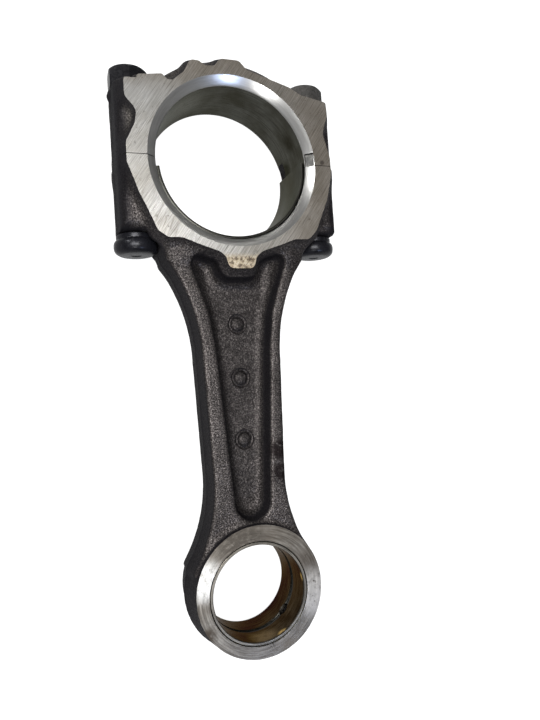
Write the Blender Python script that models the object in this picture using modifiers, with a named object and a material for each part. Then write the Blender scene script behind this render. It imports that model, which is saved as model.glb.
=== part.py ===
"""Bolted connecting rod for a small diesel engine, built as separate pieces.

Millimetre dimensions below, metres in the scene. X runs across the rod, Y along it towards
the bearing cap, Z along the bores. The rod lies on the rear faces of its big end at Z = 0.
"""
import math

import bmesh
import bpy
from mathutils import Matrix, Vector

MM = 0.001

# ---- driving dimensions, millimetres -------------------------------------------------------
CENTRES = 200.0          # big bore centre to small bore centre
GAP = 0.3                # clearance left between touching pieces

BIG_WIDTH = 37.5         # across the machined faces of the big end
BIG_BORE_R = 36.5        # housing bore
BORE_CHAMFER = 4.0       # radial size of the bore chamfer
BORE_CHAMFER_DEPTH = 3.0
CROWN_R = 51.0           # outside of the cap over the bore
CROWN_END_X = 31.0       # where the crown runs down into the nut boss
SIDE_X = 53.3            # half width of the forging beside the bolts
CORE_DROP = 4.5          # forging surface below the machined faces
CORE_ROUND = 5.3

EYE_R = 30.0
EYE_WIDTH = 30.2
EYE_BORE_R = 23.3
BUSH_WALL = 1.3
OIL_HOLE_R = 3.0
OIL_HOLE_ANGLE = -42.0   # degrees about the small end, from +X
OIL_GROOVE = 3.0
OIL_GROOVE_DEPTH = 0.6

BEAM_DEPTH = 24.1        # over the flanges
BEAM_RIM = 1.5           # rounding of the flange edges
WEB_DEPTH = 6.0
BEAM_TOP_Y, BEAM_TOP_X = -92.0, 18.4      # straight taper of the beam: where it starts ...
BEAM_LOW_Y, BEAM_LOW_X = -148.0, 16.7     # ... and ends, with its half widths
FLARE_R = 86.0           # arc from the beam up into the big end
FLARE_END_Y = -45.0      # where that arc ends inside the big end
FOOT_R = 73.0            # arc from the beam down into the eye
FOOT_END_Y = -188.0      # where that arc ends inside the eye
ROOT_X, ROOT_Y = 30.0, -25.0              # beam buried in the big end
POCKET_ROUND = 5.0
MARKS_Y = (-75.0, -101.0, -130.5)         # round forging marks on the web
MARK_R = 2.9
MARK_HEIGHT = 0.6

BOLT_X = 45.0            # bolt axes either side of the bore
SHANK_R = 5.8
WAIST_R = 5.3
THREAD_R = 5.7
HEAD_R = 10.2
COLLAR_R = 9.0
HEAD_SEAT_Y = -32.0
HEAD_END_Y = -41.5
HEAD_WALL_X = 35.5       # wall beside the head that stops it turning
NUT_SEAT_Y = 36.0
NUT_FLATS = 17.0
NUT_HEIGHT = 9.5
BOLT_END_Y = 47.3
SPOT_R = 11.5            # spot face round the nut
SPOT_DEPTH = 0.6

SHELL_WALL = 1.4
SHELL_SETBACK = 4.0      # shell edge behind the big-end face
SHELL_TURN = 4.5         # degrees the loose shell has crept round in its bore
SHELL_SPAN = 178.0
LUG_R = 37.2
LUG_Z = (4.6, 9.0)
LUG_LENGTH = 8.5         # degrees
SLOT_Z = (2.6, 9.8)
SLOT_CUTTER_R = 20.0
SLOT_DEPTH = 1.6

# ---- derived dimensions --------------------------------------------------------------------
BIG_Y = (EYE_R + CENTRES - CROWN_R) / 2
SMALL_Y = BIG_Y - CENTRES
MID_Z = BIG_WIDTH / 2
HALF_GAP = GAP / 2
SHELL_R = BIG_BORE_R - GAP
BUSH_R = EYE_BORE_R - GAP
BUSH_BORE_R = BUSH_R - BUSH_WALL
BUSH_LENGTH = EYE_WIDTH - 2 * GAP
HOLE_R = SHANK_R + GAP

# machined face of the rod half: x, y, corner radius, measured from the big bore centre
ROD_FACE = [
    (-49.6, 8, 0), (-49.6, -3.7, 2), (-45.2, -16.5, 12), (-39.6, -29, 5), (-37.8, -33.8, 3),
    (-33.0, -37.1, 3), (-27.0, -36.7, 6), (-20.5, -39.4, 8), (-9.6, -43.1, 5), (-6.9, -45.8, 3),
    (-6.0, -50.8, 3), (6.2, -50.8, 3), (7.5, -45.4, 3), (10.6, -42.7, 4), (21.5, -39.0, 8),
    (27.6, -36.6, 4), (34.6, -36.6, 3), (38.9, -32.6, 4), (45.8, -16.9, 14), (48.9, -4.5, 6),
    (48.9, 8, 0),
]
# machined face of the cap, ending below the joint so that the joint plane trims it
CAP_FACE = [
    (48.9, -8, 0), (48.9, 4.5, 4), (45.6, 16.0, 8), (48.8, 25.5, 4), (48.6, 32.0, 1.5),
    (35.5, 34.3, 3), (29.6, 37.6, 3), (8.4, 43.8, 4), (4.9, 47.9, 3), (-4.2, 47.9, 3),
    (-7.2, 43.9, 2.5), (-11.9, 43.6, 2.5), (-14.6, 45.7, 2), (-18.6, 45.7, 2.5),
    (-22.0, 39.4, 2.5), (-27.3, 35.0, 1), (-30.0, 35.2, 1), (-31.8, 37.5, 1), (-43.2, 35.9, 0.6),
    (-43.5, 34.1, 0.6), (-49.2, 34.1, 1), (-49.2, 25.6, 4), (-44.1, 20.0, 6), (-45.3, 13.6, 8),
    (-49.6, 5.0, 3), (-49.6, -8, 0),
]
# half outline of the hollow beside the web; the cutter's own rounding makes the fillets
POCKET_HALF = [
    (0, -53.0, 0), (7.0, -53.0, 0), (9.2, -44.0, 0), (17.0, -40.4, 5.5), (24.3, -45.4, 6),
    (20.6, -56.5, 12), (16.0, -70.5, 20), (13.8, -87.0, 30), (11.6, -121.0, 0),
]
POCKET_END_Y, POCKET_END_R = -158.8, 9.2

for old in list(bpy.data.objects):
    bpy.data.objects.remove(old, do_unlink=True)

parts = bpy.data.collections.new("connecting_rod")
tools = bpy.data.collections.new("cutters")
bpy.context.scene.collection.children.link(parts)
bpy.context.scene.collection.children.link(tools)


# ---- outline helpers -----------------------------------------------------------------------
def arc(cx, cy, r, start, end, steps):
    """Points on an arc, angles in degrees, both ends included."""
    turn = [math.radians(start + (end - start) * k / steps) for k in range(steps + 1)]
    return [(cx + r * math.cos(a), cy + r * math.sin(a)) for a in turn]


def rounded(corners, step=18.0):
    """Closed outline through corners (x, y, radius), each corner replaced by its fillet arc."""
    out = []
    for k, (x, y, r) in enumerate(corners):
        here = Vector((x, y))
        back = Vector(corners[k - 1][:2]) - here
        ahead = Vector(corners[(k + 1) % len(corners)][:2]) - here
        half = back.angle(ahead) / 2
        if r <= 0 or half > math.radians(89):
            out.append((x, y))
            continue
        run = min(r / math.tan(half), 0.48 * back.length, 0.48 * ahead.length)
        r = run * math.tan(half)
        centre = here + (back.normalized() + ahead.normalized()).normalized() * r / math.sin(half)
        a0 = math.atan2(*reversed(here + back.normalized() * run - centre))
        a1 = math.atan2(*reversed(here + ahead.normalized() * run - centre))
        sweep = (a1 - a0 + math.pi) % (2 * math.pi) - math.pi
        steps = max(1, math.ceil(abs(math.degrees(sweep)) / step))
        out += arc(centre.x, centre.y, r, math.degrees(a0), math.degrees(a0 + sweep), steps)
    return out


def mirrored(half):
    """Closed outline from its right half, listed from the top to the bottom centre line."""
    return half + [(-x, *rest) for x, *rest in reversed(half) if x > 0]


# ---- solid helpers -------------------------------------------------------------------------
def place(name, mesh, location, group):
    obj = bpy.data.objects.new(name, mesh)
    obj.location = Vector(location) * MM
    group.objects.link(obj)
    if group is tools:
        obj.hide_render = True
        obj.display_type = "WIRE"
    return obj


def prism(name, outline, low, high, location=(0, 0, 0), group=tools, rim=0, rim_steps=3):
    """Solid from a flat outline, between two heights, its upper and lower rims rounded."""
    low, high = low + rim, high - rim
    curve = bpy.data.curves.new(name + "_outline", "CURVE")
    curve.dimensions = "2D"
    curve.fill_mode = "BOTH"
    curve.extrude = (high - low) / 2 * MM
    spline = curve.splines.new("POLY")
    spline.points.add(len(outline) - 1)
    for point, (x, y) in zip(spline.points, outline):
        point.co = (x * MM, y * MM, 0, 1)
    spline.use_cyclic_u = True
    flat = bpy.data.objects.new(name + "_outline", curve)
    tools.objects.link(flat)
    graph = bpy.context.evaluated_depsgraph_get()
    mesh = bpy.data.meshes.new_from_object(flat.evaluated_get(graph))
    bpy.data.objects.remove(flat, do_unlink=True)
    mesh.transform(Matrix.Translation((0, 0, (low + high) / 2 * MM)))
    tidy = bmesh.new()
    tidy.from_mesh(mesh)
    bmesh.ops.remove_doubles(tidy, verts=tidy.verts, dist=1e-7)
    bmesh.ops.delete(tidy, geom=[face for face in tidy.faces if abs(face.normal.z) > 0.9],
                     context="FACES")
    bmesh.ops.holes_fill(tidy, edges=tidy.edges, sides=0)
    bmesh.ops.recalc_face_normals(tidy, faces=tidy.faces)
    if rim:
        for cap in [face for face in tidy.faces if abs(face.normal.z) > 0.9]:
            for k in range(rim_steps):
                a, b = (math.pi / 2 * n / rim_steps for n in (k, k + 1))
                bmesh.ops.inset_region(tidy, faces=[cap], use_boundary=True,
                                       use_even_offset=True,
                                       thickness=rim * MM * (math.cos(a) - math.cos(b)),
                                       depth=rim * MM * (math.sin(b) - math.sin(a)))
    tidy.to_mesh(mesh)
    tidy.free()
    mesh.name = name
    return place(name, mesh, location, group)


def lathe(name, profile, steps, location=(0, 0, 0), along="Z", group=tools, spin=0):
    """Turned solid from (radius, height) points listed top to bottom, about Z, Y or an angle."""
    mesh = bpy.data.meshes.new(name)
    mesh.from_pydata([(r * MM, 0, z * MM) for r, z in profile],
                     [(k, k + 1) for k in range(len(profile) - 1)], [])
    obj = place(name, mesh, location, group)
    if along == "Y":
        obj.rotation_euler = (-math.pi / 2, spin, 0)
    elif along != "Z":
        obj.rotation_euler = (0, math.pi / 2, math.radians(along))
    screw = obj.modifiers.new("turn", "SCREW")
    screw.steps = screw.render_steps = steps
    screw.use_merge_vertices = True
    screw.merge_threshold = 0.00001
    screw.use_smooth_shade = False
    return obj


def box(name, low, high, location=(0, 0, 0), turn=(0, 0, 0)):
    """Cutter block between two corners."""
    mesh = bpy.data.meshes.new(name)
    block = bmesh.new()
    bmesh.ops.create_cube(block, size=1)
    size = Vector(high) - Vector(low)
    for v in block.verts:
        v.co = Vector((a * b + c for a, b, c in zip(v.co, size, (Vector(low) + Vector(high)) / 2)))
        v.co *= MM
    block.to_mesh(mesh)
    block.free()
    obj = place(name, mesh, location, tools)
    obj.rotation_euler = turn
    return obj


def combine(obj, other, operation, solver="EXACT"):
    mod = obj.modifiers.new(operation.lower() + "_" + other.name, "BOOLEAN")
    mod.operation = operation
    mod.solver = solver
    mod.object = other


def paint(obj, slot, colour, metallic, roughness):
    mat = bpy.data.materials.get(slot) or bpy.data.materials.new(slot)
    mat.use_nodes = True
    shader = mat.node_tree.nodes["Principled BSDF"]
    shader.inputs["Base Color"].default_value = (*colour, 1)
    shader.inputs["Metallic"].default_value = metallic
    shader.inputs["Roughness"].default_value = roughness
    obj.data.materials.clear()
    obj.data.materials.append(mat)
    obj.data.polygons.foreach_set("use_smooth", [True] * len(obj.data.polygons))
    obj.data.set_sharp_from_angle(angle=math.radians(30))


# ---- shared cutters ------------------------------------------------------------------------
BIG = (0, BIG_Y, 0)
SMALL = (0, SMALL_Y, 0)
CHAMFER_R = BIG_BORE_R + BORE_CHAMFER
HOLE_SPIN = 0.04         # radians; keeps the facets of the bolt holes off the joint's corners

big_bore = lathe("cut_big_bore", [
    (0, BIG_WIDTH + 5), (CHAMFER_R, BIG_WIDTH + 5), (CHAMFER_R, BIG_WIDTH),
    (BIG_BORE_R, BIG_WIDTH - BORE_CHAMFER_DEPTH), (BIG_BORE_R, BORE_CHAMFER_DEPTH),
    (CHAMFER_R, 0), (CHAMFER_R, -5), (0, -5)], 96, BIG)
lug_slot = lathe("cut_lug_slot", [(0, SLOT_Z[1]), (SLOT_CUTTER_R, SLOT_Z[1]),
                                  (SLOT_CUTTER_R, SLOT_Z[0]), (0, SLOT_Z[0])], 72,
                 (BIG_BORE_R + SLOT_DEPTH - SLOT_CUTTER_R, BIG_Y, 0))
bolt_holes = [lathe(f"cut_bolt_hole_{side}", [(0, 70), (HOLE_R, 70), (HOLE_R, -70), (0, -70)],
                    32, (x, BIG_Y, MID_Z), "Y", spin=HOLE_SPIN)
              for side, x in (("left", -BOLT_X), ("right", BOLT_X))]
oil_hole = lathe("cut_oil_hole", [(0, EYE_R + 8), (OIL_HOLE_R, EYE_R + 8), (OIL_HOLE_R, 12),
                                  (0, 12)], 20, (0, SMALL_Y, MID_Z), OIL_HOLE_ANGLE)

# ---- rod body ------------------------------------------------------------------------------
flare_x = BEAM_TOP_X + FLARE_R
foot_x = BEAM_LOW_X + FOOT_R
flare_end = math.degrees(math.asin((FLARE_END_Y - BEAM_TOP_Y) / FLARE_R))
foot_end = math.degrees(math.asin((BEAM_LOW_Y - FOOT_END_Y) / FOOT_R))
beam_half = ([(ROOT_X, ROOT_Y)]
             + arc(flare_x, BEAM_TOP_Y, FLARE_R, 180 - flare_end, 180, 8)
             + arc(foot_x, BEAM_LOW_Y, FOOT_R, 180, 180 + foot_end, 10)
             + [(EYE_R - 10, -CENTRES)])
rod = prism("rod_body", mirrored(beam_half), MID_Z - BEAM_DEPTH / 2, MID_Z + BEAM_DEPTH / 2,
            BIG, parts, rim=BEAM_RIM, rim_steps=2)

yoke = prism("add_yoke", rounded(mirrored([
    (SIDE_X, 10, 0), (SIDE_X, HEAD_SEAT_Y, 0), (HEAD_WALL_X, HEAD_SEAT_Y, 0),
    (HEAD_WALL_X - 0.6, -40.0, 0), (27.0, -46.5, 8)])), CORE_DROP, BIG_WIDTH - CORE_DROP, BIG,
    rim=CORE_ROUND)
combine(rod, yoke, "UNION", "MANIFOLD")     # EXACT leaves open edges at the bolt-head seats

pocket_end = [(x, y, 0) for x, y in arc(0, POCKET_END_Y, POCKET_END_R, 4, -90, 7)]
pocket_outline = rounded(mirrored(POCKET_HALF + pocket_end), 15)
front = MID_Z + WEB_DEPTH / 2
for name, low, high in (("front", front, front + 30), ("rear", front - WEB_DEPTH - 30,
                                                       front - WEB_DEPTH)):
    pocket = prism(f"cut_pocket_{name}", pocket_outline, low, high, BIG, rim=POCKET_ROUND,
                   rim_steps=4)
    combine(rod, pocket, "DIFFERENCE")

combine(rod, prism("add_rod_face", rounded(ROD_FACE), 0, BIG_WIDTH, BIG), "UNION")
eye_low, eye_high = MID_Z - EYE_WIDTH / 2, MID_Z + EYE_WIDTH / 2
combine(rod, lathe("add_eye", [
    (0, eye_high), (EYE_R - 0.8, eye_high), (EYE_R, eye_high - 0.8), (EYE_R, eye_low + 0.8),
    (EYE_R - 0.8, eye_low), (0, eye_low)], 96, SMALL), "UNION")
for k, y in enumerate(MARKS_Y):
    combine(rod, lathe(f"add_mark_{k + 1}", [
        (0, front + MARK_HEIGHT), (MARK_R - 0.4, front + MARK_HEIGHT), (MARK_R, front),
        (MARK_R, front - 2), (0, front - 2)], 24, (1.0, BIG_Y + y, 0)), "UNION")
combine(rod, box("cut_above_joint", (-70, -HALF_GAP, -10), (70, 60, BIG_WIDTH + 10), BIG),
        "DIFFERENCE")
combine(rod, big_bore, "DIFFERENCE")
combine(rod, lathe("cut_eye_bore", [(0, 45), (EYE_BORE_R, 45), (EYE_BORE_R, -5), (0, -5)], 96,
                   SMALL), "DIFFERENCE")
seat_half = HEAD_R + 1.3
head_seats = [box(f"cut_head_seat_{side}", (min(x), HEAD_SEAT_Y - 30, MID_Z - seat_half),
                  (max(x), HEAD_SEAT_Y, MID_Z + seat_half), BIG)
              for side, x in (("left", (-HEAD_WALL_X, -60)), ("right", (HEAD_WALL_X, 60)))]
for tool in (*head_seats, *bolt_holes, lug_slot, oil_hole):
    combine(rod, tool, "DIFFERENCE", "MANIFOLD")     # EXACT opens the seats here as well
paint(rod, "forged_steel", (0.11, 0.10, 0.10), 0.6, 0.55)

# ---- bearing cap ---------------------------------------------------------------------------
crown_top = math.degrees(math.acos(CROWN_END_X / CROWN_R))
cap_half = ([(0, CROWN_R, 0)]
            + [(x, y, 0) for x, y in reversed(arc(0, 0, CROWN_R, crown_top, 88, 10))]
            + [(CROWN_END_X + 3.5, NUT_SEAT_Y + SPOT_DEPTH, 0), (SIDE_X, NUT_SEAT_Y + SPOT_DEPTH, 0),
               (SIDE_X, -10, 0)])
cap = prism("bearing_cap", rounded(cap_half + [(-x, y, r) for x, y, r in reversed(cap_half)
                                               if x > 0]),
            CORE_DROP, BIG_WIDTH - CORE_DROP, BIG, parts, rim=CORE_ROUND)
combine(cap, prism("add_cap_face", rounded(CAP_FACE), 0, BIG_WIDTH, BIG), "UNION")
combine(cap, box("cut_below_joint", (-70, -60, -10), (70, HALF_GAP, BIG_WIDTH + 10), BIG),
        "DIFFERENCE")
combine(cap, big_bore, "DIFFERENCE")
for side, x, hole in (("left", -BOLT_X, bolt_holes[0]), ("right", BOLT_X, bolt_holes[1])):
    combine(cap, hole, "DIFFERENCE")
    combine(cap, lathe(f"cut_spot_face_{side}", [(0, 70), (SPOT_R, 70), (SPOT_R, NUT_SEAT_Y),
                                                 (0, NUT_SEAT_Y)], 48, (x, BIG_Y, MID_Z), "Y"),
            "DIFFERENCE")
combine(cap, lug_slot, "DIFFERENCE")
notch_turn = math.atan2(BORE_CHAMFER_DEPTH, BORE_CHAMFER)
combine(cap, box("cut_chamfer_notch", (-2.3, HALF_GAP - 1, -0.7), (2.1, 6.2, 6),
                 (BIG_BORE_R + BORE_CHAMFER / 2, BIG_Y, BIG_WIDTH - BORE_CHAMFER_DEPTH / 2),
                 (0, -notch_turn, 0)), "DIFFERENCE")
paint(cap, "cap_steel", (0.14, 0.13, 0.13), 0.6, 0.5)

# ---- small-end bush ------------------------------------------------------------------------
bush_low, bush_high = MID_Z - BUSH_LENGTH / 2, MID_Z + BUSH_LENGTH / 2
groove_low, groove_high = MID_Z - OIL_GROOVE / 2, MID_Z + OIL_GROOVE / 2
groove_r = BUSH_BORE_R + OIL_GROOVE_DEPTH
bush = lathe("small_end_bush", [
    (BUSH_BORE_R + 0.8, bush_high), (BUSH_R, bush_high), (BUSH_R, bush_low),
    (BUSH_BORE_R + 0.8, bush_low), (BUSH_BORE_R, bush_low + 0.8), (BUSH_BORE_R, groove_low),
    (groove_r, groove_low + 0.4), (groove_r, groove_high - 0.4), (BUSH_BORE_R, groove_high),
    (BUSH_BORE_R, bush_high - 0.8), (BUSH_BORE_R + 0.8, bush_high)], 96, SMALL, group=parts)
bush.modifiers["turn"].use_normal_calculate = True
combine(bush, oil_hole, "DIFFERENCE")
paint(bush, "bearing_bronze", (0.45, 0.33, 0.18), 0.9, 0.35)

# ---- bearing shell, rod half only ----------------------------------------------------------
shell_start, shell_end = 180 + SHELL_TURN + 1, 180 + SHELL_TURN + 1 + SHELL_SPAN
shell = prism("bearing_shell_lower",
              arc(0, 0, SHELL_R, shell_start, shell_end, 48)
              + arc(0, 0, SHELL_R - SHELL_WALL, shell_end, shell_start, 48),
              SHELL_SETBACK, BIG_WIDTH - SHELL_SETBACK, BIG, parts, rim=0.35, rim_steps=1)
combine(shell, prism("add_shell_lug",
                     arc(0, 0, LUG_R, shell_end - LUG_LENGTH, shell_end - 0.6, 4)
                     + arc(0, 0, SHELL_R - SHELL_WALL / 2, shell_end - 0.6,
                           shell_end - LUG_LENGTH - 1.5, 4), *LUG_Z, BIG), "UNION")
paint(shell, "bearing_metal", (0.42, 0.42, 0.40), 0.9, 0.35)

# ---- bolts and nuts ------------------------------------------------------------------------
seat = HEAD_SEAT_Y - GAP
bolt_profile = [
    (0, BOLT_END_Y), (THREAD_R - 1.0, BOLT_END_Y), (THREAD_R, BOLT_END_Y - 1.0),
    (THREAD_R, 31.0), (WAIST_R, 30.0), (WAIST_R, 13.0), (SHANK_R, 11.5), (SHANK_R, -11.5),
    (WAIST_R, -13.0), (WAIST_R, -26.0), (SHANK_R, -27.5), (SHANK_R, seat), (COLLAR_R, seat),
    (COLLAR_R, seat - 2.0), (HEAD_R - 0.5, seat - 3.0), (HEAD_R, seat - 4.3),
    (HEAD_R, seat - 6.2), (HEAD_R - 0.6, HEAD_END_Y + 1.3), (HEAD_R - 1.9, HEAD_END_Y + 0.3),
    (HEAD_R - 2.6, HEAD_END_Y), (0, HEAD_END_Y)]
nut_low, nut_high = NUT_SEAT_Y + GAP, NUT_SEAT_Y + GAP + NUT_HEIGHT
nut_bore = THREAD_R + GAP
corner = NUT_FLATS / 2 / math.cos(math.pi / 6)
for side, x in (("left", -BOLT_X), ("right", BOLT_X)):
    axis = (x, BIG_Y, MID_Z)
    bolt = lathe(f"bolt_{side}", bolt_profile, 48, axis, "Y", parts)
    flat = math.copysign(abs(x) - HEAD_WALL_X - GAP, -x)
    wall = sorted((flat, flat + math.copysign(6, flat)))
    combine(bolt, box(f"cut_head_flat_{side}", (wall[0], -60, -12), (wall[1], seat + 0.01, 12),
                      axis), "DIFFERENCE")
    paint(bolt, "bolt_steel", (0.05, 0.05, 0.055), 0.7, 0.4)

    nut = prism(f"nut_{side}", arc(0, 0, corner, 30, 330, 5), nut_low, nut_high, axis, parts)
    nut.rotation_euler = (-math.pi / 2, 0, 0)
    combine(nut, lathe(f"trim_nut_{side}", [
        (0, nut_high + 0.01), (NUT_FLATS / 2 - 0.6, nut_high + 0.01), (corner + 0.6, nut_high - 1.7),
        (corner + 0.6, nut_low + 0.9), (NUT_FLATS / 2 - 0.2, nut_low - 0.01),
        (0, nut_low - 0.01)], 48, axis, "Y"), "INTERSECT")
    combine(nut, lathe(f"cut_nut_bore_{side}", [
        (0, nut_high + 2), (nut_bore + 2.8, nut_high + 2), (nut_bore, nut_high - 0.8),
        (nut_bore, nut_low + 0.8), (nut_bore + 2.8, nut_low - 2), (0, nut_low - 2)], 48, axis,
        "Y"), "DIFFERENCE")
    paint(nut, "nut_steel", (0.06, 0.06, 0.065), 0.7, 0.4)
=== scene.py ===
import math

import bmesh
import bpy
import numpy as np
import openvdb
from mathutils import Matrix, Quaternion, Vector


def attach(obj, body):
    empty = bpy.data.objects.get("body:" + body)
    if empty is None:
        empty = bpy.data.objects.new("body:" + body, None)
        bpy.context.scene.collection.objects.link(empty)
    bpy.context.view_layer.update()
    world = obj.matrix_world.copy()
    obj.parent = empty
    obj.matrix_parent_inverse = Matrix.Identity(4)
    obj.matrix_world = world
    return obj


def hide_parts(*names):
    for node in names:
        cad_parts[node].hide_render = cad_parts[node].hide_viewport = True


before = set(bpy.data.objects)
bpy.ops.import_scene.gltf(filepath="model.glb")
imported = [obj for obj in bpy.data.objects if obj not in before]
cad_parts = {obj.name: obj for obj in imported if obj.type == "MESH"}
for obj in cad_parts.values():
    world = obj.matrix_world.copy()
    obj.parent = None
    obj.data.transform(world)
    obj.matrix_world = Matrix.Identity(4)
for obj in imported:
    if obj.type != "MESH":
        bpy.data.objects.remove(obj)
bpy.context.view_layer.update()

# Lengths are millimetres from the big bore centre, z up from the rear faces, until a mesh is made.
MM = 0.001
BIG_Y = 89.5                       # big bore centre in the row frame
WIDTH = 37.5                       # across the ground faces of the big end
MID = WIDTH / 2
CORE_HALF = MID - 4.5              # half thickness of the forged big end beside those faces
BEAM_HALF = 12.05                  # half thickness of the beam's flanges
WEB_HALF = 3.0                     # half thickness of the web between them
BORE_R = 36.5                      # housing bore
CHAMFER_R = 40.5                   # its chamfer where it meets the face
CHAMFER_RUN, CHAMFER_FALL = 4.0, 3.0
EYE_Y = -200.0
EYE_HALF = 15.1                    # half width across the eye's faces
EYE_RIM_R = 30.05
EYE_FOOT = 29.97                   # where the eye's lower end is trimmed
EYE_BORE_R = 23.3
OIL_TURN = -42.0                   # direction of the oil hole, degrees
BOLT_X = 45.0
BOLT_HOLE_R = 6.1
HEAD_SEAT_Y, NUT_SEAT_Y = -32.0, 36.0
SEAT_WALL_X = 35.5                 # wall beside the bolt heads
JOINT_GAP = 0.15                   # from the parting plane to each half
MARK_X, MARK_YS = 1.0, (-75.0, -101.0, -130.5)
VOXEL = 0.7                        # of the distance fields
FLASH, FLASH_WIDTH = 0.30, 0.75    # the ridge the forging dies leave at mid thickness
SHARP_ANGLE = 32
LEFT, RIGHT = -1, 1


# ---------------------------------------------------------------- meshes
def to_row(points):
    p = np.array(points, float).reshape(-1, 3)
    p[:, 1] += BIG_Y
    return p * MM


def new_object(name, points, faces):
    mesh = bpy.data.meshes.new(name)
    mesh.from_pydata(to_row(points).tolist(), [], [list(map(int, f)) for f in faces])
    work = bmesh.new()
    work.from_mesh(mesh)
    bmesh.ops.recalc_face_normals(work, faces=work.faces)
    work.to_mesh(mesh)
    work.free()
    obj = bpy.data.objects.new(name, mesh)
    bpy.context.scene.collection.objects.link(obj)
    return obj


def revolve(name, profile, steps, centre=(0, 0, 0), axis="Z", radius_of=None):
    """Turned solid. profile is (radius, height) points; an end at radius 0 closes on the axis."""
    points, faces, rings = [], [], []
    for r, h in profile:
        if r <= 1e-9:
            rings.append([len(points)])
            points.append((0, 0, h))
            continue
        rings.append(list(range(len(points), len(points) + steps)))
        for s in range(steps):
            a = 2 * math.pi * s / steps
            q = radius_of(r, h, a) if radius_of else r
            points.append((q * math.cos(a), q * math.sin(a), h))
    closed = profile[0][0] > 1e-9
    for k in range(len(rings) if closed else len(rings) - 1):
        a, b = rings[k], rings[(k + 1) % len(rings)]
        for s in range(steps):
            t = (s + 1) % steps
            quad = [a[s % len(a)], a[t % len(a)], b[t % len(b)], b[s % len(b)]]
            quad = [v for i, v in enumerate(quad) if v not in quad[:i]]
            if len(quad) > 2:
                faces.append(quad)
    p = np.array(points)
    if axis == "Y":
        p = np.column_stack([p[:, 0], p[:, 2], -p[:, 1]])
    elif axis != "Z":                              # an angle in the XY plane, degrees
        c, s = math.cos(math.radians(axis)), math.sin(math.radians(axis))
        p = np.column_stack([p[:, 2] * c - p[:, 1] * s, p[:, 2] * s + p[:, 1] * c, -p[:, 0]])
    return new_object(name, p + np.array(centre, float), faces)


def prism(name, outline, low, high, centre=(0, 0, 0), axis="Z"):
    n = len(outline)
    points = [(x, y, low) for x, y in outline] + [(x, y, high) for x, y in outline]
    faces = [list(range(n))[::-1], list(range(n, 2 * n))]
    faces += [[k, (k + 1) % n, n + (k + 1) % n, n + k] for k in range(n)]
    p = np.array(points, float)
    if axis == "Y":
        p = np.column_stack([p[:, 0], p[:, 2], -p[:, 1]])
    return new_object(name, p + np.array(centre, float), faces)


def block(name, low, high, turn=None, centre=(0, 0, 0)):
    (x0, y0, z0), (x1, y1, z1) = low, high
    p = np.array([(x, y, z) for z in (z0, z1) for x, y in ((x0, y0), (x1, y0), (x1, y1), (x0, y1))],
                 float)
    if turn:
        c, s = math.cos(turn), math.sin(turn)       # about Y
        p = np.column_stack([p[:, 0] * c + p[:, 2] * s, p[:, 1], -p[:, 0] * s + p[:, 2] * c])
    faces = [(3, 2, 1, 0), (4, 5, 6, 7), (0, 1, 5, 4), (1, 2, 6, 5), (2, 3, 7, 6), (3, 0, 4, 7)]
    return new_object(name, p + np.array(centre, float), faces)


def apply_modifiers(obj):
    graph = bpy.context.evaluated_depsgraph_get()
    mesh = bpy.data.meshes.new_from_object(obj.evaluated_get(graph))
    old = obj.data
    obj.modifiers.clear()
    obj.data = mesh
    bpy.data.meshes.remove(old)
    mesh.name = obj.name


def cut(obj, *tools, operation="DIFFERENCE"):
    for tool in tools:
        mod = obj.modifiers.new(tool.name, "BOOLEAN")
        mod.operation, mod.solver, mod.object = operation, "MANIFOLD", tool
    bpy.context.view_layer.update()
    apply_modifiers(obj)
    for tool in tools:
        bpy.data.objects.remove(tool, do_unlink=True)
    return obj


def bevel(obj, width, segments=2, angle=30):
    mod = obj.modifiers.new("bevel", "BEVEL")
    mod.width, mod.segments, mod.limit_method = width * MM, segments, "ANGLE"
    mod.angle_limit = math.radians(angle)
    apply_modifiers(obj)
    return obj


# ---------------------------------------------------------------- outlines
def arc(cx, cy, r, start, end, steps):
    turn = [math.radians(start + (end - start) * k / steps) for k in range(steps + 1)]
    return [(cx + r * math.cos(a), cy + r * math.sin(a)) for a in turn]


def rounded(corners, step=8.0):
    """Closed outline through corners (x, y, radius), each corner replaced by its fillet arc."""
    out = []
    for k, (x, y, r) in enumerate(corners):
        here = Vector((x, y))
        back = Vector(corners[k - 1][:2]) - here
        ahead = Vector(corners[(k + 1) % len(corners)][:2]) - here
        half = back.angle(ahead) / 2
        if r <= 0 or half > math.radians(89):
            out.append((x, y))
            continue
        run = min(r / math.tan(half), 0.48 * back.length, 0.48 * ahead.length)
        r = run * math.tan(half)
        centre = here + (back.normalized() + ahead.normalized()).normalized() * r / math.sin(half)
        a0 = math.atan2(*reversed(here + back.normalized() * run - centre))
        a1 = math.atan2(*reversed(here + ahead.normalized() * run - centre))
        sweep = (a1 - a0 + math.pi) % (2 * math.pi) - math.pi
        steps = max(1, math.ceil(abs(math.degrees(sweep)) / step))
        out += arc(centre.x, centre.y, r, math.degrees(a0), math.degrees(a0 + sweep), steps)
    return out


def mirrored(half):
    return half + [(-x, *rest) for x, *rest in reversed(half) if x > 0]


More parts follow.
